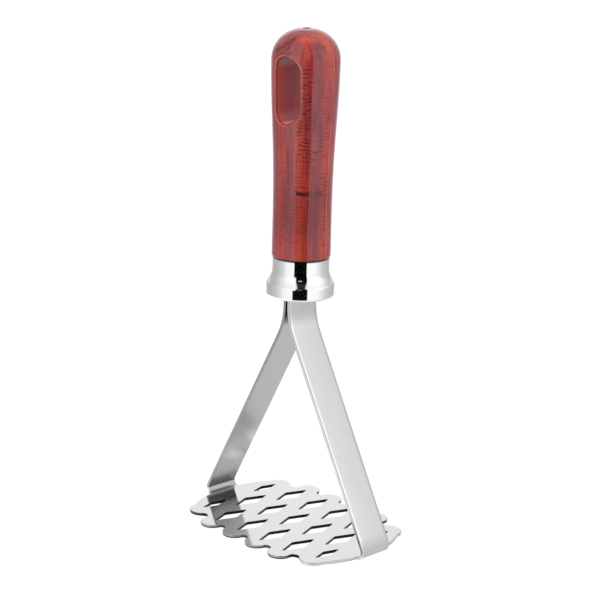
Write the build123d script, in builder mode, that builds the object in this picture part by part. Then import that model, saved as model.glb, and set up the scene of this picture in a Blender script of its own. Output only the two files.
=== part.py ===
from build123d import *
from math import radians, sin, sqrt, tan
import os

os.makedirs("parts", exist_ok=True)

# Potato masher: a plate and two legs bent from one sheet, a bell ferrule and a moulded handle.
# The plate's underside is Z = 0 with the origin below its middle, and the handle stands along +Z.
# X runs from leg to leg, Y across the plate. Sizes are in millimetres, angles in degrees.

# Sheet that the plate and both legs are cut from
sheet_thickness = 1.5

# Mashing holes: three rows of long diamonds, the outer rows half a step to the side
hole_pitch = 16.0
row_pitch = 20.2
hole_length = 22.0
hole_width = 8.3
hole_tip_radius = 0.5
hole_side_radius = 2.2
middle_row_holes = 5
outer_row_holes = 4

# Smaller diamond near each corner of the plate, a step beyond the last outer hole
corner_hole_length = 17.0
corner_hole_width = 5.2
corner_hole_offset = 16.7

# Plate outline: a lobe beyond each outer hole, with a rounded notch between neighbours
lobe_margin = 6.5
lobe_radius = 5.9
notch_depth = 6.3
notch_radius = 1.7
corner_lobe_margin = 6.4
corner_lobe_radius = 6.2
corner_lobe_inset = 0.8
corner_notch_depth = 3.0
end_edge_bow = 2.6
end_edge_bow_offset = 18.4

# Legs: flat strips bent up from the plate's ends until they run side by side under the ferrule
strip_width = 17.5
foot_margin = 11.5
foot_bend_radius = 2.5
leg_tilt = 28.6
neck_bend_radius = 31.0
neck_gap = 1.1
neck_length = 5.0

# Tangs: the narrower strip ends that the insert holds inside the handle
tang_width = 14.0
tang_length = 34.0
tang_shoulder_height = 3.0
tang_clearance = 0.05

# Ferrule: a thin drawn bell with a slot in its floor for the two strips
ferrule_height = 18.4
ferrule_flare = 2.7
ferrule_band_height = 5.8
ferrule_neck_step = 0.35
ferrule_neck_height = 5.5
ferrule_shoulder_radius = 2.0
ferrule_floor_radius = 1.8
ferrule_wall = 0.8
ferrule_rim_chamfer = 0.2
ferrule_slot_clearance = 0.15

# Handle: moulded, domed, waisted towards the ferrule, with an oblong hanging slot
handle_turn = 9.0
handle_length = 106.0
handle_head_radius = 15.85
handle_grip_radius = 14.35
handle_grip_height = 52.0
handle_waist_radius = 13.75
handle_waist_height = 18.5
handle_base_radius = 13.85
handle_base_rounding = 0.8
crown_radius = 23.0
crown_shoulder_inset = 1.8
slot_length = 30.0
slot_width = 12.8
slot_crown_cover = 12.0
slot_mouth_radius = 1.5
gate_recess_radius = 2.0
gate_recess_depth = 0.5

# Insert: a moulded plug around the tangs, glued into the handle's socket
insert_barrel_radius = 10.0
insert_end_cover = 7.0
insert_end_chamfer = 0.8
insert_fit_clearance = 0.05
socket_end_gap = 0.5
glue_groove_width = 2.0
glue_groove_depth = 0.8
glue_groove_spacing = 14.0
first_groove_height = 5.0

# Two steel pins through the tangs and the insert
pin_radius = 1.5
pin_end_gap = 0.5
first_pin_height = 12.0
pin_spacing = 14.0
pin_clearance = 0.05

# Overrun that takes each cut clear past the faces that it opens
overrun = 1.0

# Places along the plate and reaches across it, counted out from the holes
last_lobe_x = (outer_row_holes - 1) / 2 * hole_pitch
corner_hole_x = last_lobe_x + hole_pitch
foot_reach = corner_hole_x + foot_margin
end_edge_x = foot_reach - end_edge_bow
lobe_reach = row_pitch + hole_length / 2 + lobe_margin
notch_reach = lobe_reach - notch_depth
corner_lobe_reach = corner_hole_offset + corner_hole_length / 2 + corner_lobe_margin
corner_notch_reach = corner_lobe_reach - corner_notch_depth
corner_lobe_x = corner_hole_x - corner_lobe_inset
corner_lobe_y = corner_lobe_reach - corner_lobe_radius

# Course of a leg along the middle of the sheet
sheet_middle = sheet_thickness / 2
foot_turn = 90 + leg_tilt
foot_middle_radius = foot_bend_radius + sheet_middle
foot_tangent = foot_middle_radius * tan(radians(foot_turn / 2))
neck_tangent = neck_bend_radius * tan(radians(leg_tilt / 2))
foot_corner_x = foot_reach + foot_tangent
neck_middle_x = neck_gap / 2 + sheet_middle
neck_corner_z = sheet_middle + (foot_corner_x - neck_middle_x) / tan(radians(leg_tilt))
neck_start_z = neck_corner_z + neck_tangent
leg_straight = (foot_corner_x - neck_middle_x) / sin(radians(leg_tilt)) - foot_tangent - neck_tangent

# Heights of the pieces that stack up on the legs
ferrule_base_z = neck_start_z + neck_length
handle_base_z = ferrule_base_z + ferrule_height
tang_shoulder_z = ferrule_base_z + tang_shoulder_height
tang_top_z = handle_base_z + tang_length
strips_thickness = neck_gap + 2 * sheet_thickness
first_pin_z = handle_base_z + first_pin_height
pin_places = [(0, first_pin_z), (0, first_pin_z + pin_spacing)]


def diamond_hole(length, width):
    with BuildSketch() as hole:
        with BuildLine():
            Polyline(
                (width / 2, 0),
                (0, length / 2),
                (-width / 2, 0),
                (0, -length / 2),
                close=True,
            )
        make_face()
        fillet(hole.vertices().group_by(Axis.Y)[1], hole_side_radius)
        fillet([hole.vertices().sort_by(Axis.Y)[0], hole.vertices().sort_by(Axis.Y)[-1]], hole_tip_radius)
    return hole.sketch


# One-piece head: perforated plate, legs and tangs
with BuildSketch() as plate_outline:
    with BuildLine():
        end_edge = ThreePointArc(
            (foot_reach, strip_width / 2),
            (end_edge_x, end_edge_bow_offset),
            (corner_lobe_x + corner_lobe_radius, corner_lobe_y),
        )
        Polyline(
            end_edge @ 1,
            (corner_lobe_x, corner_lobe_y),
            (last_lobe_x + hole_pitch / 2, corner_notch_reach),
            (last_lobe_x, notch_reach),
            (0, notch_reach),
            (0, 0),
            (foot_reach, 0),
            end_edge @ 0,
        )
    make_face()
    with Locations((corner_lobe_x, corner_lobe_y)):
        Circle(corner_lobe_radius)
    mirror(about=Plane.YZ)
    mirror(about=Plane.XZ)
    with Locations((0, lobe_reach - lobe_radius), (0, lobe_radius - lobe_reach)):
        with GridLocations(hole_pitch, 0, outer_row_holes, 1):
            Circle(lobe_radius)
    notch_corners = [
        corner
        for corner in plate_outline.vertices()
        if abs(corner.Y) > corner_notch_reach - notch_radius and abs(corner.X) < corner_lobe_x
    ]
    fillet(notch_corners, notch_radius)
    with GridLocations(hole_pitch, 0, middle_row_holes, 1):
        add(diamond_hole(hole_length, hole_width), mode=Mode.SUBTRACT)
    with GridLocations(hole_pitch, 2 * row_pitch, outer_row_holes, 2):
        add(diamond_hole(hole_length, hole_width), mode=Mode.SUBTRACT)
    with GridLocations(2 * corner_hole_x, 2 * corner_hole_offset, 2, 2):
        add(diamond_hole(corner_hole_length, corner_hole_width), mode=Mode.SUBTRACT)

with BuildPart() as mashing_head:
    add(plate_outline.sketch)
    extrude(amount=sheet_thickness)
    with BuildLine(Plane.XZ) as leg_course:
        foot_bend = JernArc((foot_reach, sheet_middle), (1, 0), foot_middle_radius, foot_turn)
        leg_line = PolarLine(foot_bend @ 1, leg_straight, direction=foot_bend % 1)
        neck_bend = JernArc(leg_line @ 1, leg_line % 1, neck_bend_radius, -leg_tilt)
        Line(neck_bend @ 1, (neck_middle_x, tang_top_z))
    with BuildSketch(Plane(origin=foot_bend @ 0, x_dir=(0, 1, 0), z_dir=foot_bend % 0)):
        Rectangle(strip_width, sheet_thickness)
    sweep(path=leg_course.wire())
    with BuildSketch(Plane.YZ):
        side_cut_width = (strip_width - tang_width) / 2 + overrun
        side_cut_offset = tang_width / 2 + side_cut_width / 2
        side_cut_height = tang_top_z - tang_shoulder_z + overrun
        with Locations((-side_cut_offset, tang_shoulder_z), (side_cut_offset, tang_shoulder_z)):
            Rectangle(side_cut_width, side_cut_height, align=(Align.CENTER, Align.MIN))
        with Locations(pin_places):
            Circle(pin_radius + pin_clearance)
    extrude(amount=strips_thickness, mode=Mode.SUBTRACT)
    mirror(about=Plane.YZ)
mashing_head.part.label = "mashing_head"
export_step(mashing_head.part, "parts/mashing_head.step")


# Ferrule: the bell's outer form, hollowed from its open top, with the strips' slot in its floor
ferrule_neck_radius = handle_base_radius - ferrule_neck_step
ferrule_band_radius = ferrule_neck_radius + ferrule_flare

with BuildPart() as ferrule:
    with BuildSketch(Plane.XZ) as bell_half:
        with BuildLine():
            neck = Line(
                (ferrule_neck_radius, handle_base_z),
                (ferrule_neck_radius, handle_base_z - ferrule_neck_height),
            )
            flare = TangentArc(
                neck @ 1,
                (ferrule_band_radius, ferrule_base_z + ferrule_band_height),
                tangent=neck % 1,
            )
            band = Line(flare @ 1, (ferrule_band_radius, ferrule_base_z))
            Polyline(band @ 1, (0, ferrule_base_z), (0, handle_base_z), neck @ 0)
        make_face()
        outer_corners = bell_half.vertices().group_by(Axis.X)[-1].sort_by(Axis.Y)
        fillet(outer_corners[-1], ferrule_shoulder_radius)
        fillet(outer_corners[0], ferrule_floor_radius)
    revolve(axis=Axis.Z)
    offset(amount=-ferrule_wall, openings=ferrule.faces().sort_by(Axis.Z)[-1])
    with BuildSketch(Plane.XY.offset(ferrule_base_z - overrun)):
        Rectangle(
            strips_thickness + 2 * ferrule_slot_clearance,
            strip_width + 2 * ferrule_slot_clearance,
        )
    extrude(amount=ferrule_wall + 2 * overrun, mode=Mode.SUBTRACT)
    chamfer(ferrule.edges().group_by(Axis.Z)[-1], ferrule_rim_chamfer)
ferrule.part.label = "ferrule"
export_step(ferrule.part, "parts/ferrule.step")


# Insert: collar inside the bell and grooved barrel inside the handle, moulded round the tangs
collar_radius = ferrule_neck_radius - ferrule_wall - insert_fit_clearance
collar_base_z = ferrule_base_z + ferrule_wall
insert_barrel_length = tang_length + insert_end_cover
barrel_top_z = handle_base_z + insert_barrel_length

with BuildPart() as tang_insert:
    with BuildSketch(Plane.XY.offset(collar_base_z)):
        Circle(collar_radius)
    extrude(amount=handle_base_z - collar_base_z)
    with BuildSketch(Plane.XY.offset(handle_base_z)):
        Circle(insert_barrel_radius)
    extrude(amount=insert_barrel_length)
    chamfer(tang_insert.edges().group_by(Axis.Z)[-1], insert_end_chamfer)
    groove_height = handle_base_z + first_groove_height
    while groove_height + glue_groove_width < barrel_top_z:
        with BuildSketch(Plane.XY.offset(groove_height)):
            Circle(insert_barrel_radius + overrun)
            Circle(insert_barrel_radius - glue_groove_depth, mode=Mode.SUBTRACT)
        extrude(amount=glue_groove_width, mode=Mode.SUBTRACT)
        groove_height += glue_groove_spacing
    with BuildSketch(Plane.XY.offset(tang_shoulder_z)):
        with Locations((-neck_middle_x, 0), (neck_middle_x, 0)):
            Rectangle(sheet_thickness + 2 * tang_clearance, tang_width + 2 * tang_clearance)
    extrude(amount=tang_top_z + tang_clearance - tang_shoulder_z, mode=Mode.SUBTRACT)
    with BuildSketch(Plane.XY.offset(collar_base_z)):
        with Locations((-neck_middle_x, 0), (neck_middle_x, 0)):
            Rectangle(sheet_thickness + 2 * tang_clearance, strip_width + 2 * tang_clearance)
    extrude(amount=tang_shoulder_z - collar_base_z, mode=Mode.SUBTRACT)
    with BuildSketch(Plane.YZ.offset(-insert_barrel_radius)):
        with Locations(pin_places):
            Circle(pin_radius + pin_clearance)
    extrude(amount=2 * insert_barrel_radius, mode=Mode.SUBTRACT)
tang_insert.part.label = "tang_insert"
export_step(tang_insert.part, "parts/tang_insert.step")


# Pins: pressed through the insert and both tangs, with their ends inside the barrel
pin_length = 2 * (insert_barrel_radius - pin_end_gap)

with BuildPart() as tang_pins:
    with BuildSketch(Plane.YZ.offset(-pin_length / 2)):
        with Locations(pin_places):
            Circle(pin_radius)
    extrude(amount=pin_length)
tang_pins.part.label = "tang_pins"
export_step(tang_pins.part, "parts/tang_pins.step")


# Handle: turned outline with a domed head, the insert's socket, the hanging slot and the gate recess.
# It is glued on a few degrees round from the head, and the slot shows the turn.
handle_top_z = handle_base_z + handle_length
crown_centre_z = handle_top_z - crown_radius
crown_shoulder_radius = handle_head_radius - crown_shoulder_inset
centre_distance = crown_radius - crown_shoulder_radius
shoulder_rise = sqrt(centre_distance**2 - crown_shoulder_inset**2)
shoulder_centre_z = crown_centre_z + shoulder_rise
crown_share = crown_radius / centre_distance
slot_middle_z = handle_top_z - slot_crown_cover - slot_length / 2

with BuildPart() as handle:
    with BuildSketch(Plane.XZ) as handle_half:
        with BuildLine():
            side = Spline(
                (handle_base_radius, handle_base_z),
                (handle_waist_radius, handle_base_z + handle_waist_height),
                (handle_grip_radius, handle_base_z + handle_grip_height),
                (handle_head_radius, shoulder_centre_z),
                tangents=[(0, 1), (0, 1)],
            )
            shoulder = TangentArc(
                side @ 1,
                (crown_shoulder_inset * crown_share, crown_centre_z + shoulder_rise * crown_share),
                tangent=side % 1,
            )
            crown = TangentArc(shoulder @ 1, (0, handle_top_z), tangent=shoulder % 1)
            Polyline(crown @ 1, (0, handle_base_z), side @ 0)
        make_face()
    revolve(axis=Axis.Z)
    fillet(handle.edges().sort_by(Axis.Z)[0], handle_base_rounding)
    with BuildSketch(Plane.XY.offset(handle_base_z)):
        Circle(insert_barrel_radius + insert_fit_clearance)
    extrude(amount=insert_barrel_length + socket_end_gap, mode=Mode.SUBTRACT)
    with BuildSketch(Plane.XZ):
        with Locations((0, slot_middle_z)):
            SlotOverall(slot_length, slot_width, rotation=90)
    extrude(amount=handle_head_radius + overrun, both=True, mode=Mode.SUBTRACT)
    mouth_edges = handle.edges(Select.LAST).filter_by(lambda edge: abs(edge.center().Y) > slot_width)
    fillet(mouth_edges, slot_mouth_radius)
    with BuildSketch(Plane.XY.offset(handle_top_z - gate_recess_depth)):
        Circle(gate_recess_radius)
    extrude(amount=gate_recess_depth + overrun, mode=Mode.SUBTRACT)
turned_handle = handle.part.rotate(Axis.Z, handle_turn)
turned_handle.label = "handle"
export_step(turned_handle, "parts/handle.step")
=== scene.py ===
import math

import bmesh
import bpy
from mathutils import Matrix, Vector


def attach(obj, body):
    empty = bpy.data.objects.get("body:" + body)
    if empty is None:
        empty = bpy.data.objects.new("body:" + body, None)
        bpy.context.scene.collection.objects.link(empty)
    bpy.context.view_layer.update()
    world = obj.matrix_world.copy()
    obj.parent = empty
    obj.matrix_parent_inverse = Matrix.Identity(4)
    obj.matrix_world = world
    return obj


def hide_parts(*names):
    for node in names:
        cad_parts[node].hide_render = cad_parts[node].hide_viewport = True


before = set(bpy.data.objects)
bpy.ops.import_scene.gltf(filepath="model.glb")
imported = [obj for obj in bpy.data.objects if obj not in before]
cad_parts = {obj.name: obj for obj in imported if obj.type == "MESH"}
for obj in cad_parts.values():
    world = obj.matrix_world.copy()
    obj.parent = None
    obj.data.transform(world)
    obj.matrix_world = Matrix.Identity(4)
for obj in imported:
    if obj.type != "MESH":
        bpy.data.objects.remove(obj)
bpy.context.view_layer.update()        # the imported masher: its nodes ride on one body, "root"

mm = 0.001
mergeDistance = 0.001 * mm
noiseSpan = (0.3, 0.7)   # nearly all of a noise's values lie between these
print("masher: frame loaded")


# small helpers that every material shares
def tint(code):     # sRGB hex to the linear colour that shaders take
    parts = [int(code[i:i + 2], 16) / 255 for i in (0, 2, 4)]
    return tuple(p / 12.92 if p <= 0.04045 else ((p + 0.055) / 1.055) ** 2.4 for p in parts) + (1.0,)


def addNode(tree, kind, inputs=None, **fields):
    made = tree.nodes.new("ShaderNode" + kind)
    for field, value in fields.items():
        setattr(made, field, value)
    for socket, value in (inputs or {}).items():
        if isinstance(value, bpy.types.NodeSocket):
            tree.links.new(value, made.inputs[socket])
        else:
            made.inputs[socket].default_value = value
    return made


def calc(tree, operation, *values):
    return addNode(tree, "Math", dict(enumerate(values)), operation=operation).outputs[0]


def times(tree, first, second):
    return calc(tree, "MULTIPLY", first, second)


def plus(tree, first, second):
    return calc(tree, "ADD", first, second)


def minus(tree, first, second):
    return calc(tree, "SUBTRACT", first, second)


def larger(tree, first, second):
    return calc(tree, "MAXIMUM", first, second)


def unsigned(tree, value):
    return calc(tree, "ABSOLUTE", value)


def isOver(tree, value, limit):
    return calc(tree, "GREATER_THAN", value, limit)


def isUnder(tree, value, limit):
    return calc(tree, "LESS_THAN", value, limit)


def longSide(tree, first, second):     # of the right-angled triangle on these two
    return calc(tree, "SQRT", plus(tree, calc(tree, "POWER", first, 2.0), calc(tree, "POWER", second, 2.0)))


def inMm(tree, value):
    return times(tree, value, 1 / mm)


def split(tree, vector):
    return addNode(tree, "SeparateXYZ", {0: vector}).outputs


def join(tree, **axes):
    return addNode(tree, "CombineXYZ", axes).outputs[0]


def objectSpot(tree):
    return addNode(tree, "TexCoord").outputs["Object"]


def objectPlace(tree, scale, tip=0.0):
    inputs = {"Vector": objectSpot(tree), "Rotation": (tip, 0, 0), "Scale": scale}
    return addNode(tree, "Mapping", inputs).outputs[0]


def turnedBack(tree, vector, azimuth):     # brings what lies at this azimuth round to the front
    return addNode(tree, "Mapping", {"Vector": vector, "Rotation": (0, 0, -math.radians(azimuth))}).outputs[0]


def azimuthOf(tree, axes):     # radians round from the front, towards +X
    return calc(tree, "ARCTAN2", axes["X"], times(tree, axes["Y"], -1.0))


def noise(tree, place, detail=2.0, roughness=0.5, distortion=0.0):
    return addNode(tree, "TexNoise", {
        "Vector": place, "Scale": 1.0, "Detail": detail, "Roughness": roughness, "Distortion": distortion,
    }).outputs["Fac"]


def noiseOver(tree, p):     # the piece's own noise: scale, tip, then detail, roughness and distortion
    return noise(tree, objectPlace(tree, p["scale"], p.get("tip", 0.0)), *p.get("noise", ()))


def ramp(tree, value, stops):
    made = addNode(tree, "ValToRGB", {"Fac": value})
    band = made.color_ramp
    band.interpolation = "LINEAR"
    while len(band.elements) < len(stops):
        band.elements.new(0.5)
    for element, (place, colour) in zip(band.elements, stops):
        element.position = place
        element.color = colour
    return made.outputs["Color"]


def remap(tree, value, fromLow, fromHigh, toLow=0.0, toHigh=1.0, smooth=True):
    inputs = {0: value, 1: fromLow, 2: fromHigh, 3: toLow, 4: toHigh}
    kind = "SMOOTHSTEP" if smooth else "LINEAR"
    return addNode(tree, "MapRange", inputs, interpolation_type=kind).outputs[0]


def strayed(tree, value, by, span=noiseSpan):     # noise as a shift to either side
    return remap(tree, value, *span, -by, by, False)


def window(tree, value, middle, half, soft):     # 1 near the middle, 0 past half, with a soft rim
    return remap(tree, unsigned(tree, minus(tree, value, middle)), half - soft, half + soft, 1.0, 0.0)


def mixColour(tree, share, under, over, blend="MIX"):
    inputs = {0: share, 6: under, 7: over}
    return addNode(tree, "Mix", inputs, data_type="RGBA", blend_type=blend).outputs[2]


def mixValue(tree, share, under, over):
    return addNode(tree, "Mix", {0: share, 2: under, 3: over}).outputs[0]


def bumpFrom(tree, height, strength, distance, **under):
    inputs = {"Height": height, "Strength": strength, "Distance": distance}
    return addNode(tree, "Bump", {**inputs, **under}).outputs[0]


def newMaterial(name, inputs):
    made = bpy.data.materials.new(name)
    made.use_nodes = True
    tree = made.node_tree
    tree.nodes.clear()
    shader = addNode(tree, "BsdfPrincipled", inputs)
    tree.links.new(shader.outputs[0], addNode(tree, "OutputMaterial").inputs["Surface"])
    return made, tree, shader


def wear(tree, shader, **sockets):
    for socket, value in sockets.items():
        tree.links.new(value, shader.inputs[socket])


def dress(nodeName, material):
    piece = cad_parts[nodeName]
    for place in piece.material_slots:
        place.material = material


def newPiece(name, bm):
    mesh = bpy.data.meshes.new(name)
    bm.to_mesh(mesh)
    bm.free()
    piece = bpy.data.objects.new(name, mesh)
    bpy.context.scene.collection.objects.link(piece)
    return piece, mesh


# camera, where the photograph was taken from
cameraPlace = {
    "azimuth": 46.3065,      # degrees round from the front, towards +X
    "distance": 0.83238,     # metres from the masher's axis
    "height": 0.34709,
    "pitch": -15.7487,
    "roll": 1.4332,
    "lens": 110.267,
    "sensor": 36,
    "clip": (0.05, 50),
}


def placeCamera(p):
    data = bpy.data.cameras.new("photoCamera")
    data.lens = p["lens"]
    data.sensor_width = p["sensor"]
    data.clip_start, data.clip_end = p["clip"]
    camera = bpy.data.objects.new("photoCamera", data)
    bpy.context.scene.collection.objects.link(camera)
    azimuth = math.radians(p["azimuth"])
    spot = Vector((p["distance"] * math.sin(azimuth), -p["distance"] * math.cos(azimuth), p["height"]))
    camera.matrix_world = (
        Matrix.Translation(spot)
        @ Matrix.Rotation(azimuth, 4, "Z")
        @ Matrix.Rotation(math.radians(90 + p["pitch"]), 4, "X")
        @ Matrix.Rotation(math.radians(p["roll"]), 4, "Z")
    )
    bpy.context.scene.camera = camera


placeCamera(cameraPlace)
print("masher: camera placed")


# studio: white ground, soft light, and what the bright metal mirrors
studio = {
    "front": 46.3,           # azimuth that the angles below are counted from
    "groundRadius": 6.0,
    "groundSides": 96,
    "groundDrop": 0.05 * mm,
    "groundGlow": 1.05,
    "airGlow": 1.05,         # behind the ground, as the camera sees it
    "softGlow": 0.72,        # light on the matt surfaces
    "brightest": 2.0,        # scale of the rows below
    "lowRow": [              # mirrored level with the table's far edge: angle, glow
        (-180, 1.25), (-160, 0.90), (-142, 0.54), (-109, 0.58), (-90, 0.68), (-72, 0.84), (-58, 1.12),
        (-27, 1.22), (-25, 0.003), (23, 0.003), (25, 1.24), (56, 1.20), (68, 1.08), (90, 0.79), (109, 0.66),
        (142, 0.55), (160, 0.90), (180, 1.25),
    ],
    "middleRow": [           # mirrored a little above the table
        (-180, 1.70), (-150, 1.00), (-128, 0.56), (-108, 0.60), (-90, 0.76), (-68, 1.05), (-52, 1.24),
        (-19, 1.24), (-16, 0.003), (24, 0.003), (27, 1.24), (52, 1.26), (58, 1.80), (76, 1.80), (83, 1.22),
        (92, 1.14), (106, 0.86), (122, 0.70), (134, 0.66), (152, 1.05), (180, 1.70),
    ],
    "highRow": [             # mirrored from overhead
        (-180, 0.95), (-120, 0.66), (-93, 0.80), (-55, 1.12), (-20, 1.15), (-11, 0.03), (20, 0.03),
        (28, 1.15), (60, 1.20), (85, 1.08), (108, 1.05), (126, 1.15), (150, 0.95), (180, 0.95),
    ],
    "tableRow": [            # the white table just in front of the masher
        (-180, 1.30), (-125, 1.45), (-60, 1.45), (0, 1.20), (50, 1.10), (72, 0.90), (118, 0.85),
        (150, 1.05), (180, 1.30),
    ],
    "tableSteep": 0.76,      # and close beside it
    "steepTo": (-0.76, -0.62),       # Z of the mirrored direction, where each runs into the next
    "tableTo": (-0.325, -0.285),
    "lowTo": (-0.05, 0.24),
    "middleTo": (0.45, 0.70),
    "palePatch": {           # paler part of the dark strip, which the plate mirrors when seen from behind
        "angle": -1, "half": 7, "soft": 1.08, "rise": 0.38, "halfRise": 0.045, "softRise": 0.01, "glow": 0.55,
    },
    "lampAim": 0.15,         # height that the lamps point at
    "lamps": [               # azimuth from the front, elevation, distance, size, watts
        (-50, 40, 1.3, 0.9, 2.5),
        (70, 35, 1.4, 0.9, 2.5),
    ],
}


def makeGround(p):
    white = newMaterial("groundWhite", {
        "Base Color": (0, 0, 0, 1), "Roughness": 0.9, "Specular IOR Level": 0.0,
        "Emission Color": (1, 1, 1, 1), "Emission Strength": p["groundGlow"],
    })[0]
    bm = bmesh.new()
    bmesh.ops.create_circle(bm, cap_ends=True, segments=p["groundSides"], radius=p["groundRadius"])
    bmesh.ops.translate(bm, verts=bm.verts, vec=(0, 0, -p["groundDrop"]))
    ground, mesh = newPiece("ground", bm)
    mesh.materials.append(white)
    ground.visible_glossy = False
    ground.visible_diffuse = False


def makeWorld(p):
    world = bpy.data.worlds.new("studioAir")
    bpy.context.scene.world = world
    world.use_nodes = True
    tree = world.node_tree
    tree.nodes.clear()
    direction = addNode(tree, "TexCoord").outputs["Generated"]
    axes = split(tree, turnedBack(tree, direction, p["front"]))
    place = calc(tree, "MULTIPLY_ADD", azimuthOf(tree, axes), 0.5 / math.pi, 0.5)     # once round is 0 to 1
    rise = axes["Z"]

    def grey(glow):
        return (glow / p["brightest"],) * 3 + (1,)

    def row(name):
        return ramp(tree, place, [((degrees + 180) / 360, grey(glow)) for degrees, glow in p[name]])

    table = mixColour(tree, remap(tree, rise, *p["steepTo"]), grey(p["tableSteep"]), row("tableRow"))
    above = mixColour(tree, remap(tree, rise, *p["lowTo"]), row("lowRow"), row("middleRow"))
    above = mixColour(tree, remap(tree, rise, *p["middleTo"]), above, row("highRow"))
    glow = mixColour(tree, remap(tree, rise, *p["tableTo"]), table, above)
    glow = times(tree, glow, p["brightest"])
    pale = p["palePatch"]
    here = window(tree, place, (pale["angle"] + 180) / 360, pale["half"] / 360, pale["soft"] / 360)
    here = times(tree, here, window(tree, rise, pale["rise"], pale["halfRise"], pale["softRise"]))
    glow = larger(tree, glow, times(tree, here, pale["glow"]))

    def air(strength):
        return addNode(tree, "Background", {"Color": (1, 1, 1, 1), "Strength": strength}).outputs[0]

    ray = addNode(tree, "LightPath").outputs
    soft, mirrored, bare = air(p["softGlow"]), air(glow), air(p["airGlow"])
    shone = addNode(tree, "MixShader", {0: ray["Is Glossy Ray"], 1: soft, 2: mirrored}).outputs[0]
    shown = addNode(tree, "MixShader", {0: ray["Is Camera Ray"], 1: shone, 2: bare}).outputs[0]
    tree.links.new(shown, addNode(tree, "OutputWorld").inputs["Surface"])


def makeLamps(p):
    aim = Vector((0, 0, p["lampAim"]))
    for count, (azimuth, elevation, distance, size, watts) in enumerate(p["lamps"]):
        data = bpy.data.lights.new(f"softbox{count}", "AREA")
        data.shape = "DISK"
        data.size = size
        data.energy = watts
        lamp = bpy.data.objects.new(f"softbox{count}", data)
        bpy.context.scene.collection.objects.link(lamp)
        a, e = math.radians(azimuth + p["front"]), math.radians(elevation)
        back = Vector((math.sin(a) * math.cos(e), -math.cos(a) * math.cos(e), math.sin(e)))
        lamp.location = aim + back * distance
        lamp.rotation_mode = "QUATERNION"
        lamp.rotation_quaternion = back.to_track_quat("Z", "Y")
        lamp.visible_glossy = False
        lamp.visible_camera = False


makeGround(studio)
makeWorld(studio)
makeLamps(studio)
bpy.context.scene.view_settings.view_transform = "Standard"
print("masher: studio lit")


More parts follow.
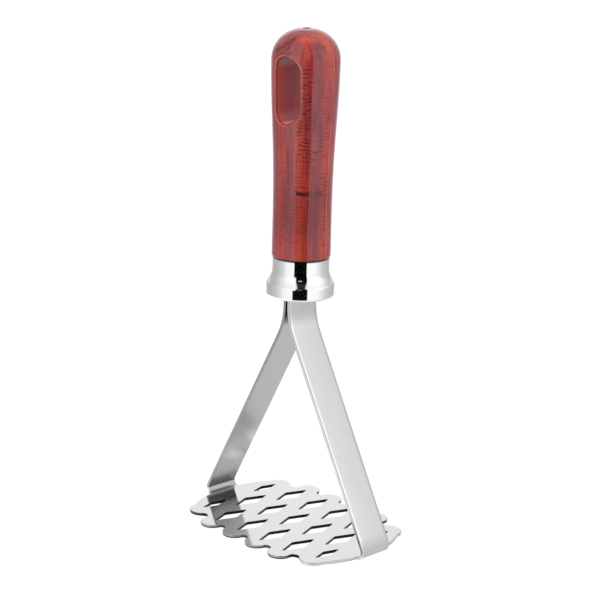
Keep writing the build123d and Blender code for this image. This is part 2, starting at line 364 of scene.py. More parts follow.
# handle: glossy moulding with a printed red wood grain; lengths in mm, angles in degrees, colours linear
handleLook = {
    "heart": 58.1,           # azimuth of the dark heart of the print, round from the front
    "perDegree": 0.25,       # what a degree spans on the surface, about
    "headRadius": 15.85,
    "domeStart": 228.2,
    "domePull": 2.0,         # the bands bend over the dome into arches
    "domePower": 1.4,
    "archMiddle": 10.5,      # their middle line, out from the heart
    "archFrom": (226.0, 231.0),
    "archBands": [           # out from the middle line, colour: print with painted reflection haze laid in
        (0, (0.29, 0.054, 0.068)), (9, (0.31, 0.052, 0.062)), (12, (0.40, 0.048, 0.042)),
        (16, (0.62, 0.080, 0.046)), (24, (0.70, 0.105, 0.060)), (31, (0.58, 0.082, 0.055)),
        (38, (0.42, 0.070, 0.072)), (52, (0.33, 0.056, 0.070)), (64, (0.46, 0.070, 0.066)),
        (80, (0.34, 0.052, 0.060)), (105, (0.44, 0.052, 0.044)), (130, (0.32, 0.028, 0.032)),
        (152, (0.46, 0.050, 0.036)), (180, (0.30, 0.026, 0.030)),
    ],
    "wander": {              # how far the bands stray
        "scale": (110, 110, 16), "noise": (3.0, 0.5, 0.3), "span": (0.25, 0.75), "by": 3.5,
    },
    "leftBands": [           # out from the heart, colour: print with painted reflection haze laid in
        (0, (0.36, 0.037, 0.034)), (9.5, (0.40, 0.043, 0.036)), (12, (0.55, 0.075, 0.045)),
        (23, (0.54, 0.075, 0.050)), (26, (0.50, 0.075, 0.066)), (33, (0.40, 0.064, 0.066)),
        (45, (0.34, 0.050, 0.058)), (50, (0.50, 0.060, 0.044)), (63, (0.52, 0.069, 0.050)),
        (69, (0.36, 0.044, 0.050)), (84, (0.36, 0.046, 0.054)), (98, (0.30, 0.032, 0.032)),
        (118, (0.50, 0.058, 0.038)), (136, (0.30, 0.024, 0.03)), (152, (0.48, 0.054, 0.036)),
        (180, (0.30, 0.026, 0.03)),
    ],
    # print with painted reflection haze laid in, as on the left
    "rightBands": [
        (0, (0.31, 0.042, 0.050)), (3, (0.28, 0.048, 0.062)), (12, (0.31, 0.054, 0.070)),
        (21, (0.29, 0.052, 0.064)), (25, (0.45, 0.064, 0.058)), (33, (0.53, 0.076, 0.062)),
        (41, (0.52, 0.070, 0.058)), (46, (0.45, 0.060, 0.060)), (60, (0.36, 0.048, 0.058)),
        (78, (0.36, 0.056, 0.074)), (96, (0.30, 0.032, 0.038)), (118, (0.48, 0.048, 0.036)),
        (138, (0.32, 0.028, 0.03)), (152, (0.50, 0.054, 0.036)), (168, (0.34, 0.030, 0.03)),
        (180, (0.30, 0.026, 0.03)),
    ],
    "sidesMeet": 1.5,        # half the width in which the left bands turn into the right ones
    "squeeze": {"angle": 41.0, "from": (186, 214), "power": 0.5},     # the right ones narrow near the top
    "gain": (1.14, 1.12, 1.12, 1),           # the print is paler overall than its bands
    "belts": [               # and deeper in two belts: height, half size, softness, what multiplies it
        (157, 12, 7, (0.75, 0.74, 0.78, 1)), (204, 15, 9, (0.84, 0.97, 1.12, 1)),
    ],
    "paintedHazeColour": (0.44, 0.125, 0.115, 1),
    "hazeSoft": (5.0, 1.5),
    "haze": [                # painted reflection of soft light, as paler patches: angle from the heart, height, half sizes, share
        (-44, 229.5, 12, 2.6, 0.55), (-20, 222, 6, 12, 0.55), (-26, 190, 5, 26, 0.35), (58, 232, 22, 4, 0.35),
        (20, 236, 26, 1.6, 0.4), (10, 204, 7, 24, 0.25), (-70, 236, 30, 3, 0.3),
    ],
    "cloudDark": (0.20, 0.036, 0.055, 1),
    "fibreDark": (0.13, 0.014, 0.020, 1),
    "fibreBright": (0.60, 0.115, 0.080, 1),
    "grain": {               # layers of noise, each with its washes: from, to, share, colour
        "clouds": {"scale": (150, 150, 62), "tip": 0.35, "noise": (3.0, 0.55, 0.4), "washes": [
            (0.52, 0.68, 0.34, "cloudDark"), (0.44, 0.30, 0.22, "fibreBright"),
        ]},
        "broad": {"scale": (420, 420, 9), "washes": [
            (0.52, 0.72, 0.30, "fibreDark"),
        ]},
        "fibres": {"scale": (1500, 1500, 26), "noise": (3.0, 0.6), "washes": [
            (0.50, 0.70, 0.50, "fibreDark"), (0.46, 0.30, 0.40, "fibreBright"),
        ]},
    },
    "figureDark": (0.070, 0.009, 0.012, 1),
    "figureWave": {          # the lines of the cross figure
        "pitch": 1.75, "stray": 0.9, "slow": (0.045, 0.11), "stretch": 0.08, "distortion": 0.8,
        "detail": (2.0, 1.0, 0.6), "line": (0.30, 0.96), "breaks": (0.8, 1, 0.7), "gap": (0.38, 0.60),
        "soft": (6.0, 3.0),
    },
    "level": {               # where they run level: angle from the heart, height, half sizes, share
        "slope": 0.012, "faint": 0.14, "patches": [
            (-11, 203, 12, 22, 0.72), (2, 184, 22, 5, 0.66), (30, 170, 15, 7, 0.55),
            (-14, 172, 13, 5, 0.5), (-10, 155, 13, 8, 0.45), (34, 150, 12, 12, 0.35),
            (-90, 185, 26, 24, 0.4), (110, 190, 40, 22, 0.5), (-130, 165, 40, 20, 0.5),
            (160, 150, 40, 12, 0.5), (-160, 212, 40, 14, 0.5),
        ],
    },
    "slant": {               # and where they drop towards the right
        "slope": 0.085, "faint": 0.10, "patches": [
            (34, 203, 20, 13, 0.36), (-38, 153, 24, 13, 0.42), (14, 194, 14, 12, 0.42),
            (-50, 174, 18, 9, 0.36), (20, 158, 16, 10, 0.30), (-30, 192, 10, 8, 0.30),
            (60, 222, 16, 10, 0.4), (120, 165, 30, 20, 0.4),
        ],
    },
    "ragged": {"scale": (500, 500, 500), "by": 0.5},     # how rough the edges of single lines are
    "streakEnd": 0.12,       # share of its length over which a line fades at either end
    "streaks": [             # single dark lines: from angle, height, to angle, height, half width, share
        (-84, 229.0, -34, 237.0, 1.70, 0.58), (-74, 226.6, -40, 233.4, 1.20, 0.50),
        (-60, 228.4, -34, 231.0, 0.90, 0.45), (-20, 238.2, 22, 236.6, 0.45, 0.30),
        # the two at 44.5 degrees, beside the seam bead, are painted shade
        (44.6, 237.4, 44.6, 222, 0.34, 0.75), (44.4, 224, 44.6, 196, 0.30, 0.45),
        (-96, 226, -92, 196, 0.5, 0.35), (52, 224, 56, 205, 0.4, 0.4),
        (24, 183.0, 40, 183.4, 0.30, 0.5), (32, 141.6, 42, 141.2, 0.45, 0.7),
    ],
    "knotDark": (0.040, 0.008, 0.012, 1),
    "knot": {                # a dark squiggle across the front, strong at first and faint further on
        "height": 166.3, "from": -26, "to": 1, "faintTo": 29, "half": 0.62, "scale": 0.9, "shift": 7.3,
        "detail": 1.0, "stray": 1.3, "ragged": 0.8, "strong": (2.0, 0.95), "faint": (3.0, 0.45),
    },
    "slot": {                # the hanging slot
        "turn": 9.0,
        "middle": 213.08,
        "halfWidth": 6.4,
        "straight": 8.6,     # half the straight part of its sides
        "wall": (0.05, 0.30, 1.0, 0.0),      # its inside ends between these, out from its side
        "inside": (0.72, 0.135, 0.085, 1),
        "deepReflection": (0.58, 0.130, 0.165, 1),     # a painted reflection further in, by the distance from the handle's axis
        "deepReflectionFrom": (7.0, 14.0, 1.0, 0.0),
        "fibre": (0.45, 0.75, 0.0, 0.22),
        "arch": (0.46, 0.270, 0.190, 1),     # browner under the arch: painted light
        "archFrom": (0.3, 4.6, 0.0, 0.85),
        # painted shade on the floor, at the lower end
        "floor": (0.52, 0.105, 0.110, 1),
        "floorFrom": (3.0, 6.3, 0.0, 0.80),
        "lipHighlight": (0.95, 0.400, 0.340, 1),      # a painted highlight along the lowest line of the floor
        "lipHighlightFrom": (5.8, 6.1, 0.0, 0.80),
        # painted shade along the edge of the mouth
        "edge": (0.15, 0.014, 0.016, 1),
        "edgeShadeAt": (0.30, 0.22, 0.15),
        "edgeShadeShare": 0.8,
        "rim": (0.74, 0.150, 0.085, 1),      # a painted highlight round its mouth, fainter on the right
        "rimHighlightAt": (0.95, 0.42, 0.25),
        "rimFrom": (3.0, -5.0, 0.22, 0.70),
        "roughness": 0.42,
    },
    "gate": (2.3, 1.7, 0.0, 0.85),           # the dark gate mark on top
    "baseHeight": 134.081,
    "baseShade": (0.035, 0.012, 0.012, 1),   # painted shade: the joint above the ferrule holds a dark line
    "baseFrom": (1.1, 0.35, 0.0, 0.92),
    "roughness": 0.075,
    "gloss": 1.44,
    "sheen": 0.60,           # the film looks purple where it turns away
    "sheenRoughness": 0.30,
    "sheenTint": (0.80, 0.34, 0.56, 1),
    "swell": {"scale": (120, 120, 70), "noise": (1.0,), "bump": (0.12, 0.2 * mm)},
}


def patchOf(tree, angle, height, patch, soft):     # one oblong patch, as strong as its share: of the print's figure, and of the painted reflection haze
    middle, centre, halfAngle, halfHeight, share = patch
    here = window(tree, angle, middle, halfAngle, soft[0])
    here = times(tree, here, window(tree, height, centre, halfHeight, soft[1]))
    return times(tree, here, share)


def strand(tree, off, half):     # one line of the grain, by how far off its middle
    core, rim = 0.3, 1.3         # shares of its half width, between which it fades
    return remap(tree, unsigned(tree, off), core * half, rim * half, 1.0, 0.0)


def printBandsWithPaintedHaze(tree, p, angle, height, radius):     # long bands round the heart, arches over the dome: print with painted reflection haze
    onDome = isOver(tree, height, p["domeStart"])
    spread = mixValue(tree, onDome, 1.0, calc(tree, "DIVIDE", radius, p["headRadius"]))
    pull = larger(tree, minus(tree, p["headRadius"], radius), 0.0)
    pull = times(tree, calc(tree, "POWER", pull, p["domePower"]), p["domePull"])
    pull = times(tree, pull, onDome)
    wander = p["wander"]
    stray = strayed(tree, noiseOver(tree, wander), wander["by"], wander["span"])

    def outFrom(middle):
        away = times(tree, unsigned(tree, minus(tree, angle, middle)), spread)
        return larger(tree, plus(tree, longSide(tree, away, pull), stray), 0.0)

    def bands(out, name):
        stops = [(degrees / 180, (*colour, 1)) for degrees, colour in p[name]]
        return ramp(tree, calc(tree, "DIVIDE", out, 180.0), stops)

    out = outFrom(0.0)
    squeeze = p["squeeze"]
    power = remap(tree, height, *squeeze["from"], 1.0, squeeze["power"])
    near = calc(tree, "POWER", calc(tree, "DIVIDE", out, squeeze["angle"]), power)
    near = times(tree, near, squeeze["angle"])
    rightOut = mixValue(tree, isUnder(tree, out, squeeze["angle"]), out, near)
    onRight = remap(tree, angle, -p["sidesMeet"], p["sidesMeet"])
    base = mixColour(tree, onRight, bands(out, "leftBands"), bands(rightOut, "rightBands"))
    arches = bands(outFrom(p["archMiddle"]), "archBands")
    base = mixColour(tree, remap(tree, height, *p["archFrom"]), base, arches)
    base = mixColour(tree, 1.0, base, p["gain"], "MULTIPLY")
    for middle, half, soft, colour in p["belts"]:
        belt = mixColour(tree, 1.0, base, colour, "MULTIPLY")
        base = mixColour(tree, window(tree, height, middle, half, soft), base, belt)
    return base


def crossLines(tree, p, angle, height, figure):     # short soft waves, strong in patches
    wave = p["figureWave"]
    slow = join(tree, X=times(tree, angle, wave["slow"][0]), Z=times(tree, height, wave["slow"][1]))
    stray = strayed(tree, noise(tree, slow), wave["stray"])
    level = plus(tree, calc(tree, "MULTIPLY_ADD", angle, figure["slope"], height), stray)
    place = join(tree, X=times(tree, angle, wave["stretch"]), Z=level)
    detail, detailScale, detailRoughness = wave["detail"]
    # at a scale of 1 this node's bands are pi / 10 apart
    waves = addNode(tree, "TexWave", {
        "Vector": place, "Scale": math.pi / 10 / wave["pitch"], "Distortion": wave["distortion"],
        "Detail": detail, "Detail Scale": detailScale, "Detail Roughness": detailRoughness,
    }, wave_type="BANDS", bands_direction="Z").outputs["Fac"]
    broken = addNode(tree, "Mapping", {"Vector": place, "Scale": wave["breaks"]}).outputs[0]
    lines = remap(tree, waves, *wave["line"])
    lines = times(tree, lines, remap(tree, noise(tree, broken), *wave["gap"]))
    strength = figure["faint"]
    for patch in figure["patches"]:
        strength = larger(tree, strength, patchOf(tree, angle, height, patch, wave["soft"]))
    return times(tree, lines, strength)


def addStreaks(tree, p, base, angle, height, ragged):     # single dark lines, across the handle or along it
    for fromAngle, fromHeight, toAngle, toHeight, half, share in p["streaks"]:
        turn, drop = toAngle - fromAngle, toHeight - fromHeight
        if abs(turn) * p["perDegree"] > abs(drop) / 2:
            along = remap(tree, angle, fromAngle, toAngle, 0.0, 1.0, False)
            off = minus(tree, height, calc(tree, "MULTIPLY_ADD", along, drop, fromHeight))
        else:
            along = remap(tree, height, fromHeight, toHeight, 0.0, 1.0, False)
            off = minus(tree, angle, calc(tree, "MULTIPLY_ADD", along, turn, fromAngle))
            off = times(tree, off, p["perDegree"])
        end = p["streakEnd"]
        ends = times(tree, remap(tree, along, 0.0, end), remap(tree, along, 1.0, 1 - end))
        line = times(tree, strand(tree, plus(tree, off, ragged), half), ends)
        base = mixColour(tree, times(tree, line, share), base, p["figureDark"])
    return base


def knotLine(tree, p, angle, height, ragged):     # two waves that cross
    knot = p["knot"]
    place = join(tree, X=times(tree, angle, p["perDegree"]))
    inputs = {"Vector": place, "Scale": (knot["scale"], 1, 1), "Location": (knot["shift"], 0, 0)}
    bend = addNode(tree, "Mapping", inputs).outputs[0]
    stray = strayed(tree, noise(tree, bend, knot["detail"]), knot["stray"])
    off = plus(tree, minus(tree, height, knot["height"]), times(tree, ragged, knot["ragged"]))
    waves = [unsigned(tree, minus(tree, off, stray)), unsigned(tree, plus(tree, off, stray))]
    line = strand(tree, calc(tree, "MINIMUM", *waves), knot["half"])

    def reach(to, soft, share):
        half = (to - knot["from"]) / 2
        return times(tree, window(tree, angle, knot["from"] + half, half, soft), share)

    strong, faint = reach(knot["to"], *knot["strong"]), reach(knot["faintTo"], *knot["faint"])
    return times(tree, line, larger(tree, strong, faint))


def addSlot(tree, p, base, spot, height, radius, fibre):     # its own colour inside, with painted reflection, shade and a highlight, and a painted highlight round its rim
    slot = p["slot"]
    across = inMm(tree, split(tree, turnedBack(tree, spot, slot["turn"]))["X"])
    past = unsigned(tree, minus(tree, height, slot["middle"]))
    past = larger(tree, minus(tree, past, slot["straight"]), 0.0)
    gap = minus(tree, longSide(tree, across, past), slot["halfWidth"])
    inside = remap(tree, gap, *slot["wall"])
    shade = mixColour(tree, remap(tree, radius, *slot["deepReflectionFrom"]), slot["inside"], slot["deepReflection"])
    shade = mixColour(tree, remap(tree, fibre, *slot["fibre"]), shade, p["fibreDark"])
    onTop = isOver(tree, height, slot["middle"])
    end = mixValue(tree, onTop, remap(tree, past, *slot["floorFrom"]), remap(tree, past, *slot["archFrom"]))
    shade = mixColour(tree, end, shade, mixColour(tree, onTop, slot["floor"], slot["arch"]))
    lipHighlight = times(tree, remap(tree, past, *slot["lipHighlightFrom"]), minus(tree, 1.0, onTop))
    shade = mixColour(tree, lipHighlight, shade, slot["lipHighlight"])
    base = mixColour(tree, inside, base, shade)
    edge = times(tree, window(tree, gap, *slot["edgeShadeAt"]), slot["edgeShadeShare"])
    base = mixColour(tree, edge, base, slot["edge"])
    rim = times(tree, window(tree, gap, *slot["rimHighlightAt"]), remap(tree, across, *slot["rimFrom"]))
    return mixColour(tree, rim, base, slot["rim"]), inside


def makeHandleMaterial(p):
    made, tree, shader = newMaterial("redWoodMoulding", {
        "IOR": p["gloss"], "Sheen Weight": p["sheen"], "Sheen Roughness": p["sheenRoughness"],
        "Sheen Tint": p["sheenTint"],
    })
    spot = objectSpot(tree)
    axes = split(tree, spot)
    height = inMm(tree, axes["Z"])
    flat = join(tree, X=axes["X"], Y=axes["Y"])
    radius = inMm(tree, addNode(tree, "VectorMath", {0: flat}, operation="LENGTH").outputs["Value"])
    angle = azimuthOf(tree, split(tree, turnedBack(tree, spot, p["heart"])))
    angle = times(tree, angle, 180 / math.pi)

    base = printBandsWithPaintedHaze(tree, p, angle, height, radius)
    # painted reflection: paler patches where soft light is mirrored
    for patch in p["haze"]:
        base = mixColour(tree, patchOf(tree, angle, height, patch, p["hazeSoft"]), base, p["paintedHazeColour"])
    layers = {}
    for name, layer in p["grain"].items():
        layers[name] = noiseOver(tree, layer)
        for low, high, share, colour in layer["washes"]:
            base = mixColour(tree, remap(tree, layers[name], low, high, 0.0, share), base, p[colour])
    figure = [crossLines(tree, p, angle, height, p[name]) for name in ("level", "slant")]
    base = mixColour(tree, larger(tree, *figure), base, p["figureDark"])

    ragged = strayed(tree, noiseOver(tree, p["ragged"]), p["ragged"]["by"])
    base = addStreaks(tree, p, base, angle, height, ragged)
    base = mixColour(tree, knotLine(tree, p, angle, height, ragged), base, p["knotDark"])
    base, inside = addSlot(tree, p, base, spot, height, radius, layers["fibres"])
    gate = times(tree, remap(tree, radius, *p["gate"]), isOver(tree, height, p["domeStart"]))
    base = mixColour(tree, gate, base, p["figureDark"])
    # painted shade in the joint above the ferrule
    jointShadow = remap(tree, minus(tree, height, p["baseHeight"]), *p["baseFrom"])
    base = mixColour(tree, jointShadow, base, p["baseShade"])

    wear(tree, shader, **{
        "Base Color": base,
        "Roughness": mixValue(tree, inside, p["roughness"], p["slot"]["roughness"]),
        "Normal": bumpFrom(tree, noiseOver(tree, p["swell"]), *p["swell"]["bump"]),
    })
    return made


# and the mould's parting line down both its sides
seamLook = {
    "turn": 100.5,           # azimuth of the line
    "halfWidth": 0.30 * mm,
    "ridge": 0.02 * mm,      # half the width of its crest
    "proud": 0.10 * mm,
    "sunk": 0.10 * mm,
    "topRadius": 4.2 * mm,   # it stops short of the gate mark
    "bottom": 135.3 * mm,
    "slotClear": 11.0 * mm,  # and doesn't cross the slot
    "domeStart": 229.5 * mm,
    "sideways": 0.5,         # faces that look further to the side than this don't carry it
    "cutDistance": 1e-7,
    "sharpAngle": 40,
    "colour": (0.96, 0.230, 0.170, 1),       # a painted highlight along the bead, paler than the print
    "stretched": (0.66, 0.110, 0.080, 1),
    "patches": {"scale": (200, 200, 90), "noise": (3.0, 0.6), "from": (0.4, 0.65)},
    "roughness": (0.12, 0.30),
    "gloss": 1.44,
}


def makeSeamMaterial(p):
    made, tree, shader = newMaterial("partingLine", {"IOR": p["gloss"]})
    patches = noiseOver(tree, p["patches"])
    share = remap(tree, patches, *p["patches"]["from"])
    # a painted highlight along the bead, in patches
    wear(tree, shader, **{
        "Base Color": mixColour(tree, share, p["colour"], p["stretched"]),
        "Roughness": remap(tree, patches, *noiseSpan, *p["roughness"]),
    })
    return made


def sortByPlace(parts, placeOf):     # some operators leave a chance order, which differs between runs
    ranked = sorted(parts, key=lambda part: placeOf(part)[:])
    ranks = {part: rank for rank, part in enumerate(ranked)}
    parts.sort(key=lambda part: ranks[part])


def makeSeam(p, material):     # a fine bead that follows the handle's surface
    bm = bmesh.new()
    bm.from_mesh(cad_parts["handle"].data)
    bmesh.ops.remove_doubles(bm, verts=bm.verts, dist=mergeDistance)
    turn = math.radians(p["turn"])
    across = Vector((math.cos(turn), math.sin(turn), 0))     # square to the parting plane

    def cut(place, **clear):
        parts = bm.verts[:] + bm.edges[:] + bm.faces[:]
        bmesh.ops.bisect_plane(
            bm, geom=parts, dist=p["cutDistance"], plane_co=place, plane_no=across, **clear,
        )

    cut(across * p["halfWidth"], clear_outer=True)
    cut(across * -p["halfWidth"], clear_inner=True)
    cut(Vector((0, 0, 0)))

    def offSurface(face):
        spot = face.calc_center_median()
        radius = math.hypot(spot.x, spot.y)
        if spot.z < p["bottom"] or radius < p["topRadius"] or abs(face.normal.dot(across)) > p["sideways"]:
            return True
        return spot.z < p["domeStart"] and radius < p["slotClear"]

    def liftOf(v):
        onRidge = abs(v.co.dot(across)) < p["ridge"]
        return v.normal * (p["proud"] if onRidge else -p["sunk"])

    bmesh.ops.delete(bm, geom=[face for face in bm.faces if offSurface(face)], context="FACES")
    bm.normal_update()
    lifts = {v: liftOf(v) for v in bm.verts}
    sides = bmesh.ops.extrude_face_region(bm, geom=bm.faces[:])
    sunkVerts = [v for v in sides["geom"] if isinstance(v, bmesh.types.BMVert)]
    for v, lift in lifts.items():
        v.co += lift
    bm.normal_update()
    for v in sunkVerts:
        v.co -= v.normal * p["sunk"] * 2
    bmesh.ops.recalc_face_normals(bm, faces=bm.faces)
    sortByPlace(bm.verts, lambda v: v.co)
    sortByPlace(bm.faces, lambda face: face.calc_center_median())
    seam, mesh = newPiece("handle_seam", bm)
    mesh.shade_smooth()
    mesh.set_sharp_from_angle(angle=math.radians(p["sharpAngle"]))
    mesh.materials.append(material)
    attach(seam, "root")


dress("handle", makeHandleMaterial(handleLook))
makeSeam(seamLook, makeSeamMaterial(seamLook))
print("masher: handle dressed")


# ferrule: chrome plate over a drawn shell; heights in mm
ferruleLook = {
    "colour": tint("e6e7e8"),
    "roughness": (0.03, 0.06),
    "haze": {"scale": (120, 120, 900), "noise": (3.0, 0.6), "from": (0.35, 0.7)},
    "top": 134.081,
    "jointShade": (0.10, 0.09, 0.09, 1),     # painted shade on the last of the neck, dark against the handle
    "jointFrom": (0.25, 0.75, 0.9, 0.0),
    "bottom": 115.681,
    "turnedIn": 0.9,         # this much of the lower edge curves under
    "turnSlope": 300.0,
    "rings": {"scale": (18, 18, 2600), "bump": (0.04, 0.03 * mm)},     # left by the lathe
}


def makeFerruleMaterial(p):
    made, tree, shader = newMaterial("chromePlate", {"Metallic": 1.0})
    height = inMm(tree, split(tree, objectSpot(tree))["Z"])
    # painted shade on the top of the neck, against the handle
    jointShadow = remap(tree, minus(tree, p["top"], height), *p["jointFrom"])
    past = times(tree, larger(tree, minus(tree, p["bottom"] + p["turnedIn"], height), 0.0), mm)
    curve = times(tree, times(tree, past, past), -p["turnSlope"])
    edge = bumpFrom(tree, curve, 1.0, 1.0)
    wear(tree, shader, **{
        "Base Color": mixColour(tree, jointShadow, p["colour"], p["jointShade"]),
        "Roughness": remap(tree, noiseOver(tree, p["haze"]), *p["haze"]["from"], *p["roughness"]),
        "Normal": bumpFrom(tree, noiseOver(tree, p["rings"]), *p["rings"]["bump"], Normal=edge),
    })
    return made


dress("ferrule", makeFerruleMaterial(ferruleLook))
print("masher: ferrule dressed")


# head: rolled stainless sheet, satin strips and a brighter plate; lengths in mm
sheetLook = {
    "colour": tint("cccccc"),
    "streak": tint("c2c2c2"),
    "plate": tint("adadad"),
    "grain": {"scale": (90, 2600, 90), "noise": (3.0, 0.6), "bump": (0.04, 0.03 * mm)},
    "streakFrom": (0.40, 0.75, 0.0, 0.6),
    "stripFrom": (3.0, 12.0),                # the height at which the plate's polish ends
    "stripRoughness": 0.22,
    "plateRoughness": 0.09,
    "roughnessStray": (-0.02, 0.02),
    "plateTop": 1.55,                        # just over the sheet's thickness
    "faceUp": 0.3,                           # Z of the normal, from which a face counts as the plate's top
    "faceLevel": 0.5,                        # a cut wall's is under this, up or down
    "holesReach": (43.0, 30.6),              # the holes lie within this, and the plate's edges outside it
    "holesCorner": 65.0,                     # so does this limit on x and y added up
    "cutWallShade": (0.012, 0.012, 0.013, 1),     # painted shade on the sheared walls of the holes, dark as the shadowed table they mirror
    "rim": (0.30, 0.30, 0.30, 1),            # painted shade on the plate's outer edge, darker down near the table
    "rimFootShade": (0.02, 0.02, 0.02, 1),
    "rimFrom": (0.2, 1.2),
    "lobesReach": 37.0,
    "notchShare": 0.15,                      # painted shade: the edge is darker down in the notches
    "notchEnd": 2.0,
    "endRimHighlight": (0.50, 0.50, 0.50, 1),         # a painted highlight: round the +X end the edge is lighter
    "endFrom": (30.0, 37.0),
    "bendReach": (45.0, 8.6),
    "bendShade": (1.9, 0.1, 0.0, 0.75),      # painted shade: the bend grows darker towards the table
    "legFrom": 3.5,
    "legEdges": 2.0 * mm,                    # all sharp edges above this are broken
    "arrisShade": (0.09, 0.09, 0.09, 1),           # painted shade on the edge breaks that face one way round, along the strips
    "arrisShadeTwist": 0.12,
    "sideEdgeShade": (0.30, 0.30, 0.31, 1),         # painted shade on one side edge of each strip, darker than the other
    "sideEdgeShadeFrom": 0.8,
    "gapShade": (0.05, 0.05, 0.05, 1),       # painted shade between the tangs, under the ferrule
    "gapFrom": (99.0, 108.0),
    "innerSide": -0.4,                       # X of the normal, counted away from the middle
    "shin": (23.0, 12.0, 6.0),               # a painted highlight: the legs' inner faces are lighter here
    "shinHighlight": (0.86, 0.86, 0.86, 1),
    "heel": {"from": (12.5, 5.4), "low": (3.4, 4.2), "share": 0.74},     # and painted shade darkens them just above the bend
    "heelShade": (0.03, 0.03, 0.03, 1),
    "crown": 1.8,                            # the strips' outer faces are a little crowned
    "outerSide": 0.2,
    "edgeRoll": {"from": 7.0 * mm, "slope": 60.0},     # and roll over at their edges
    "edgeBreak": 0.22 * mm,
    "flatAngle": 0.4,                        # faces that meet flatter than this become one
    "sharpAngle": 50,                        # and edges sharper than this are broken
    "smoothAngle": 18,
}


def makeSheetMaterial(p):
    made, tree, shader = newMaterial("stainlessSheet", {"Metallic": 1.0})
    spot = split(tree, objectSpot(tree))
    height = inMm(tree, spot["Z"])
    grain = noiseOver(tree, p["grain"])
    strip = remap(tree, height, *p["stripFrom"])
    rough = mixValue(tree, strip, p["plateRoughness"], p["stripRoughness"])
    rough = plus(tree, rough, remap(tree, grain, *noiseSpan, *p["roughnessStray"]))
    base = mixColour(tree, remap(tree, grain, *p["streakFrom"]), p["colour"], p["streak"])

    # which way the bare metal faces tells its cut edges from its faces
    faces = split(tree, addNode(tree, "NewGeometry").outputs["True Normal"])
    notUp = isUnder(tree, faces["Z"], p["faceUp"])
    base = mixColour(tree, larger(tree, strip, notUp), p["plate"], base)
    offs = [inMm(tree, unsigned(tree, spot[axis])) for axis in "XY"]
    inner = isUnder(tree, unsigned(tree, faces["Z"]), p["faceLevel"])
    for off, reach in zip(offs + [plus(tree, *offs)], p["holesReach"] + (p["holesCorner"],)):
        inner = times(tree, inner, isUnder(tree, off, reach))
    low = isUnder(tree, height, p["plateTop"])
    # painted shade on the walls of the holes
    base = mixColour(tree, times(tree, inner, low), base, p["cutWallShade"])

    # painted shade on the plate's outer edge, without the foot of the bend
    bend = times(tree, isOver(tree, offs[0], p["bendReach"][0]), isUnder(tree, offs[1], p["bendReach"][1]))
    rim = times(tree, minus(tree, 1.0, inner), low)
    rim = times(tree, rim, isUnder(tree, faces["Z"], p["faceLevel"]))
    rim = times(tree, rim, minus(tree, 1.0, bend))
    notch = remap(tree, offs[1], p["holesReach"][1], p["lobesReach"], p["notchShare"], 1.0)
    notch = larger(tree, notch, isOver(tree, offs[0], p["holesReach"][0] + p["notchEnd"]))
    rimShade = mixColour(tree, remap(tree, height, *p["rimFrom"]), p["rimFootShade"], p["rim"])
    rimShade = mixColour(tree, notch, p["rimFootShade"], rimShade)
    # a painted highlight on the edge round the +X end
    rimShade = mixColour(tree, remap(tree, inMm(tree, spot["X"]), *p["endFrom"]), rimShade, p["endRimHighlight"])
    base = mixColour(tree, rim, base, rimShade)
    # painted shade under the foot of the bend
    under = times(tree, times(tree, remap(tree, height, *p["bendShade"]), bend), notUp)
    base = mixColour(tree, under, base, p["rimFootShade"])

    # the legs: painted shade on both sides of the cut, then painted shade and a painted highlight on their
    # inner faces
    onLeg = isOver(tree, height, p["legFrom"])
    twist = times(tree, faces["X"], faces["Y"])
    base = mixColour(tree, times(tree, isOver(tree, twist, p["arrisShadeTwist"]), onLeg), base, p["arrisShade"])
    end = calc(tree, "SIGN", spot["X"])
    side = times(tree, faces["Y"], end)
    base = mixColour(tree, times(tree, isOver(tree, side, p["sideEdgeShadeFrom"]), onLeg), base, p["sideEdgeShade"])
    outward = times(tree, faces["X"], end)
    innerFace = isUnder(tree, outward, p["innerSide"])
    tightGapShade = times(tree, innerFace, remap(tree, height, *p["gapFrom"]))
    base = mixColour(tree, tightGapShade, base, p["gapShade"])
    shin = times(tree, window(tree, height, *p["shin"]), innerFace)
    base = mixColour(tree, shin, base, p["shinHighlight"])
    # painted shade on the inner faces just above the bend
    heel = p["heel"]
    dark = times(tree, remap(tree, height, *heel["from"]), remap(tree, height, *heel["low"]))
    dark = times(tree, times(tree, dark, innerFace), heel["share"])
    base = mixColour(tree, dark, base, p["heelShade"])

    # crowned outer faces that roll over at their edges
    roll = p["edgeRoll"]
    past = larger(tree, minus(tree, unsigned(tree, spot["Y"]), roll["from"]), 0.0)
    dome = times(tree, times(tree, spot["Y"], spot["Y"]), -p["crown"])
    dome = plus(tree, dome, times(tree, times(tree, past, past), -roll["slope"]))
    outerFace = times(tree, strip, isOver(tree, outward, p["outerSide"]))
    crown = bumpFrom(tree, times(tree, dome, outerFace), 1.0, 1.0)
    wear(tree, shader, **{
        "Base Color": base,
        "Roughness": rough,
        "Normal": bumpFrom(tree, grain, *p["grain"]["bump"], Normal=crown),
    })
    return made


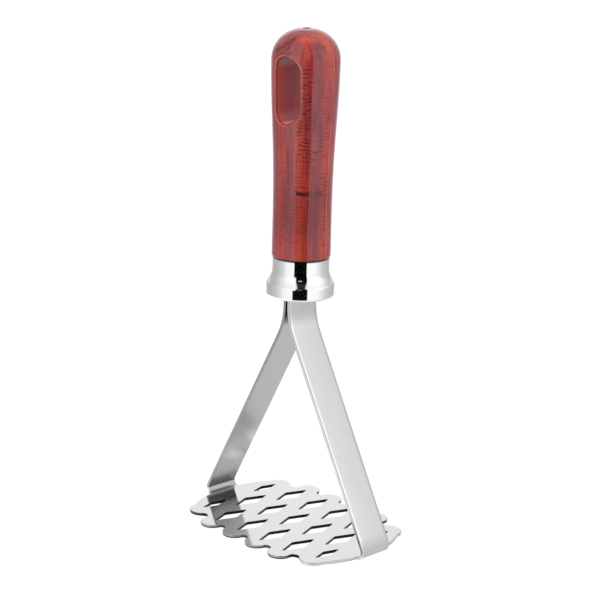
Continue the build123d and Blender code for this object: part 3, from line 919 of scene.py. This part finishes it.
def makeHead(p, material):     # the bent blank again, with the sharp edges of its cut taken off
    bm = bmesh.new()
    bm.from_mesh(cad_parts["mashing_head"].data)
    bmesh.ops.remove_doubles(bm, verts=bm.verts, dist=mergeDistance)
    bmesh.ops.dissolve_limit(
        bm, angle_limit=math.radians(p["flatAngle"]), verts=bm.verts, edges=bm.edges, delimit={"NORMAL"},
    )
    insideX, insideY, insideCorner = (reach * mm for reach in (*p["holesReach"], p["holesCorner"]))

    def onOutline(edge):
        if len(edge.link_faces) != 2 or edge.calc_face_angle(0) < math.radians(p["sharpAngle"]):
            return False
        middle = (edge.verts[0].co + edge.verts[1].co) / 2
        offX, offY = abs(middle.x), abs(middle.y)
        if middle.z > p["legEdges"]:
            return True
        return offX > insideX or offY > insideY or offX + offY > insideCorner

    outline = [edge for edge in bm.edges if onOutline(edge)]
    bmesh.ops.bevel(
        bm, geom=outline, offset=p["edgeBreak"], offset_type="OFFSET", affect="EDGES", segments=2,
        profile=0.5, material=-1, clamp_overlap=False,
    )
    piece, mesh = newPiece("pressed_head", bm)
    mesh.shade_smooth()
    mesh.set_sharp_from_angle(angle=math.radians(p["smoothAngle"]))
    mesh.materials.append(material)
    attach(piece, "root")
    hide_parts("mashing_head")


sheetMaterial = makeSheetMaterial(sheetLook)
dress("mashing_head", sheetMaterial)
makeHead(sheetLook, sheetMaterial)
print("masher: head dressed")


# inside the handle: plain insert and steel pins
innerLook = {
    "insert": tint("2a2a2b"),
    "insertGrain": {"scale": (700, 700, 700), "noise": (3.0,)},
    "insertRoughness": (0.45, 0.65),
    "pin": tint("9fa0a0"),
    "pinGrain": {"scale": (300, 2500, 2500)},
    "pinRoughness": (0.25, 0.40),
}


def makeInnerMaterials(p):
    insert, tree, shader = newMaterial("insertMoulding", {"Base Color": p["insert"]})
    grain = noiseOver(tree, p["insertGrain"])
    wear(tree, shader, Roughness=remap(tree, grain, *noiseSpan, *p["insertRoughness"]))
    pin, tree, shader = newMaterial("pinSteel", {"Base Color": p["pin"], "Metallic": 1.0})
    grain = noiseOver(tree, p["pinGrain"])
    wear(tree, shader, Roughness=remap(tree, grain, *noiseSpan, *p["pinRoughness"]))
    return insert, pin


insertMaterial, pinMaterial = makeInnerMaterials(innerLook)
dress("tang_insert", insertMaterial)
dress("tang_pins", pinMaterial)
print("masher: inside dressed")
